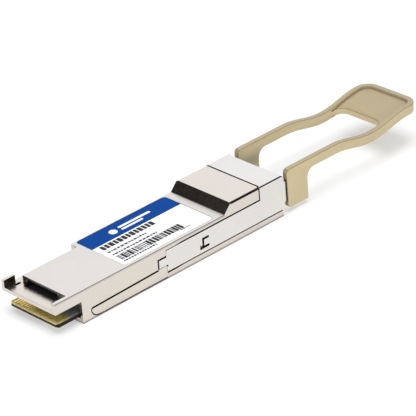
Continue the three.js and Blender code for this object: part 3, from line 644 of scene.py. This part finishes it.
def spring(side):
    """A compression spring with closed end coils, as long as the spring piece that it replaces.
    """
    node = f"return_spring_{side}"
    low, high = (Vector(p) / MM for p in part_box(node))
    centre = (low + high) / 2
    turns = 2 * CLOSED_TURNS + ACTIVE_TURNS
    length = (high.y - low.y) - 2 * COIL_WIRE
    steps = int(turns * STEPS_PER_TURN)
    shape = bmesh.new()
    rings = []
    for i in range(steps + 1):
        turn = turns * i / steps
        angle = 2 * math.pi * turn
        along = low.y + COIL_WIRE + length * coil_share(turn, turns)
        ring = []
        for j in range(WIRE_SIDES):
            around = 2 * math.pi * j / WIRE_SIDES
            reach = COIL_RADIUS + COIL_WIRE * math.cos(around)
            x = centre.x + reach * math.cos(angle)
            z = centre.z + reach * math.sin(angle)
            ring.append(shape.verts.new(mm(x, along + COIL_WIRE * math.sin(around), z)))
        rings.append(ring)
    for first, second in zip(rings, rings[1:]):
        skin(shape, first, second)
    shape.faces.new(list(reversed(rings[0])))
    shape.faces.new(rings[-1])
    for face in shape.faces:
        face.smooth = True
    obj = make(f"coil_spring_{side}", shape, SPRING)
    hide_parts(node)
    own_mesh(obj)


PORT_Z = 5.2
FIBRE_COUNT = 12
FIBRE_PITCH = 0.25
FIBRE_RADIUS = 0.0625
FIBRE_SIDES = 12


def fibre_ends():
    """Twelve polished fibre ends across the ferrule's face."""
    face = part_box("mt_ferrule")[1][1] / MM - Y_SHIFT
    shape = bmesh.new()
    for i in range(FIBRE_COUNT):
        x = (i - (FIBRE_COUNT - 1) / 2) * FIBRE_PITCH
        back, front = [], []
        for j in range(FIBRE_SIDES):
            angle = 2 * math.pi * j / FIBRE_SIDES
            dx, dz = FIBRE_RADIUS * math.cos(angle), FIBRE_RADIUS * math.sin(angle)
            back.append(shape.verts.new(at(x + dx, face, PORT_Z + dz)))
            front.append(shape.verts.new(at(x + dx, face + 0.01, PORT_Z + dz)))
        shape.faces.new(back)
        shape.faces.new(list(reversed(front)))
        skin(shape, back, front)
    make("fibre_ends", shape, FIBRE_GLASS)


label_print()
contact_fingers("gold_fingers_upper", "contact_pads_upper", BOARD_HIGH)
contact_fingers("gold_fingers_lower", "contact_pads_lower", BOARD_LOW - FINGER_HEIGHT)
board_tracks()
spring("left")
spring("right")
fibre_ends()


# ---- Stage ----


CAMERA_PLACE = mm(454.96, -411.98, 336.89)
CAMERA_TURN = (48.13, 28.45, -4.66)  # azimuth from -Y, elevation and roll, in degrees
CAMERA_LENS = 253.58


def camera():
    """Three-quarter view from the card end, right and above, through a very long lens."""
    azimuth, elevation, roll = (math.radians(a) for a in CAMERA_TURN)
    level = Vector((math.sin(azimuth), -math.cos(azimuth), 0))
    back = level * math.cos(elevation) + Vector((0, 0, math.sin(elevation)))
    right = Vector((math.cos(azimuth), math.sin(azimuth), 0))
    up = back.cross(right)
    rolled_right = right * math.cos(roll) + up * math.sin(roll)
    rolled_up = up * math.cos(roll) - right * math.sin(roll)
    data = bpy.data.cameras.new("camera")
    data.lens = CAMERA_LENS
    data.clip_end = 20
    view = bpy.data.objects.new("camera", data)
    bpy.context.scene.collection.objects.link(view)
    matrix = Matrix((rolled_right, rolled_up, back)).transposed().to_4x4()
    matrix.translation = CAMERA_PLACE
    view.matrix_world = matrix
    bpy.context.scene.camera = view


FLOOR_REACH = 3.0
FLOOR_TONE = 0.69
FLOOR_GLOW = 0.34


def floor():
    """Matt pale paper that glows a little, so that it stays white away from the lamps."""
    mesh = bpy.data.meshes.new("floor")
    far = FLOOR_REACH
    corners = [(-far, -far, 0), (far, -far, 0), (far, far, 0), (-far, far, 0)]
    mesh.from_pydata(corners, [], [(0, 1, 2, 3)])
    obj = bpy.data.objects.new("floor", mesh)
    bpy.context.scene.collection.objects.link(obj)
    r = Recipe("floor_paper")
    pale, paler = (FLOOR_TONE - 0.01,) * 3, (FLOOR_TONE,) * 3
    tone = r.mix(r.span(r.noise(0.01, 2), 0.3, 0.7), pale, paler)
    r.set(Base_Color=tone, Roughness=0.9, Specular_IOR_Level=0.1)
    r.set(Emission_Color=(1, 1, 1), Emission_Strength=FLOOR_GLOW)
    mesh.materials.append(r.material)


def lamp(name, place, size, watts):
    """A soft lamp aimed at the origin, hidden from reflections."""
    data = bpy.data.lights.new(name, "AREA")
    data.shape = "ELLIPSE"
    data.size, data.size_y = size
    data.energy = watts
    obj = bpy.data.objects.new(name, data)
    bpy.context.scene.collection.objects.link(obj)
    obj.location = place
    obj.rotation_euler = (-Vector(place)).to_track_quat("-Z", "Y").to_euler()
    obj.visible_glossy = False


SKY_DIFFUSE = 0.36
SKY_GLOSSY = 1.21
DIFFUSE_TINT = (0.93, 0.96, 1.0)
GLOSSY_TINT = (1.0, 1.01, 1.05)
# The direction of each flag, and the cosines from it at which it starts and is full
FLAGS = [((-0.655, -0.476, 0.587), 0.952, 0.982), ((0.476, 0.587, 0.655), 0.94, 0.975)]
FLAG_LEAK = 0.0091  # share of the light that a flag lets through


def sky():
    """A pale room. Mirror-like faces also see two black flags, as a product studio hangs them."""
    world = bpy.data.worlds.new("studio")
    bpy.context.scene.world = world
    world.use_nodes = True
    world.node_tree.nodes.clear()
    g = Graph(world.node_tree)
    direction = g.add("ShaderNodeTexCoord").outputs["Generated"]
    light = SKY_GLOSSY
    for toward, start, full in FLAGS:
        dot = g.add("ShaderNodeVectorMath", operation="DOT_PRODUCT")
        g.put(direction, dot.inputs[0])
        g.put(toward, dot.inputs[1])
        passed = g.span(dot.outputs["Value"], start, full, 1, FLAG_LEAK, smooth=True)
        light = g.math("MULTIPLY", light, passed)
    glossy = g.add("ShaderNodeLightPath").outputs["Is Glossy Ray"]
    background = g.add("ShaderNodeBackground")
    g.put(g.mix(glossy, DIFFUSE_TINT, GLOSSY_TINT), background.inputs["Color"])
    g.put(g.span(glossy, 0, 1, SKY_DIFFUSE, light), background.inputs["Strength"])
    output = g.add("ShaderNodeOutputWorld")
    g.put(background.outputs[0], output.inputs["Surface"])


camera()
floor()
sky()
lamp("key", (0.12, -0.12, 2.0), (1.5, 1.5), 25)
lamp("side", (1.0, 0.1, 0.2), (0.5, 0.2), 5.0)
lamp("front", (0.1, -1.0, 0.2), (0.5, 0.2), 7.0)
bpy.context.scene.view_settings.view_transform = "Standard"
